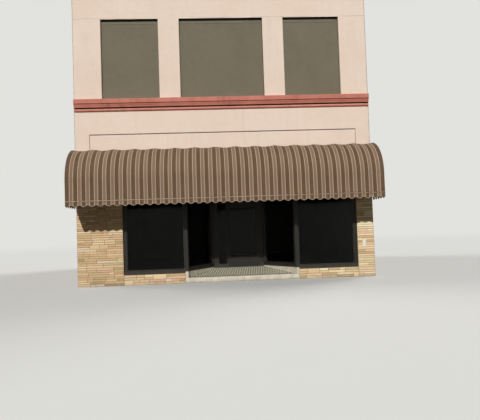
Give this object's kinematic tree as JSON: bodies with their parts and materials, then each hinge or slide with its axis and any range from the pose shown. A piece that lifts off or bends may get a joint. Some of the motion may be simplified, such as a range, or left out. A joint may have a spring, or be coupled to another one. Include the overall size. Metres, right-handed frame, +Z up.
{
  "type": "corner shop building",
  "caption": "Two-storey shop building between party walls: stucco upper front with blocked windows and a moulded belt course, stone piers, recessed entry, striped round awning, hinged door.",
  "frame": {"origin": "On the underside of the ground floor, under the middle of the building's plan, level with the pavement at its lowest corner.", "axes": "+Z is up, +X runs along the shopfront to the right as seen from the street, and the street side faces -Y."},
  "size_m": [9.2, 13.53, 9.9],
  "materials": {
    "stucco": "matte",
    "stone_facing": "matte",
    "concrete": "matte",
    "pale_concrete": "matte",
    "coping_stone": "matte",
    "brick": "matte",
    "belt_paint": "matte",
    "panel_paint": "matte",
    "floor_boards": "matte",
    "soffit_board": "matte",
    "roofing": "matte",
    "frame_metal": "satin",
    "glass": "gloss",
    "awning_cloth": "matte",
    "awning_steel": "satin",
    "box_plastic": "matte",
    "hardware_metal": "satin"
  },
  "bodies": {
    "building": {"ground_floor": "concrete", "entry_floor": "concrete", "left_party_wall": "brick", "right_party_wall": "brick", "front_upper_wall": "stucco", "transom_panel": "stucco", "shopfront_beam": "frame_metal", "left_stone_pier": "stone_facing", "right_stone_pier": "stone_facing", "left_stone_base": "stone_facing", "right_stone_base": "stone_facing", "rear_stone_wall": "stone_facing", "rear_upper_wall": "stucco", "upper_floor": "floor_boards", "roof_deck": "roofing", "front_belt_course": "belt_paint", "rear_belt_course": "belt_paint", "front_coping": "coping_stone", "rear_coping": "coping_stone", "party_wall_copings": "coping_stone", "front_left_window_panel": "panel_paint", "front_centre_window_panel": "panel_paint", "front_right_window_panel": "panel_paint", "rear_window_panels": "panel_paint", "left_window_frame": "frame_metal", "left_window_glass": "glass", "right_window_frame": "frame_metal", "right_window_glass": "glass", "left_return_frame": "frame_metal", "left_return_glass": "glass", "right_return_frame": "frame_metal", "right_return_glass": "glass", "left_return_base": "pale_concrete", "right_return_base": "pale_concrete", "door_frame": "frame_metal", "entry_glass": "glass", "entry_soffit": "soffit_board", "awning_frame": "awning_steel", "awning_canopy": "awning_cloth", "awning_valance": "awning_cloth", "wall_box": "box_plastic", "frame_hinges": "hardware_metal"},
    "door": {"door_leaf": "frame_metal", "door_glass": "glass", "door_pulls": "hardware_metal", "door_hinges": "hardware_metal"}
  },
  "joints": [
    {"name": "door_hinge", "type": "hinge", "parent": "building", "child": "door", "pos_m": [1.082, -4.314, 1.405], "axis": [0, 0, 1], "range_deg": [0, 90]}
  ]
}
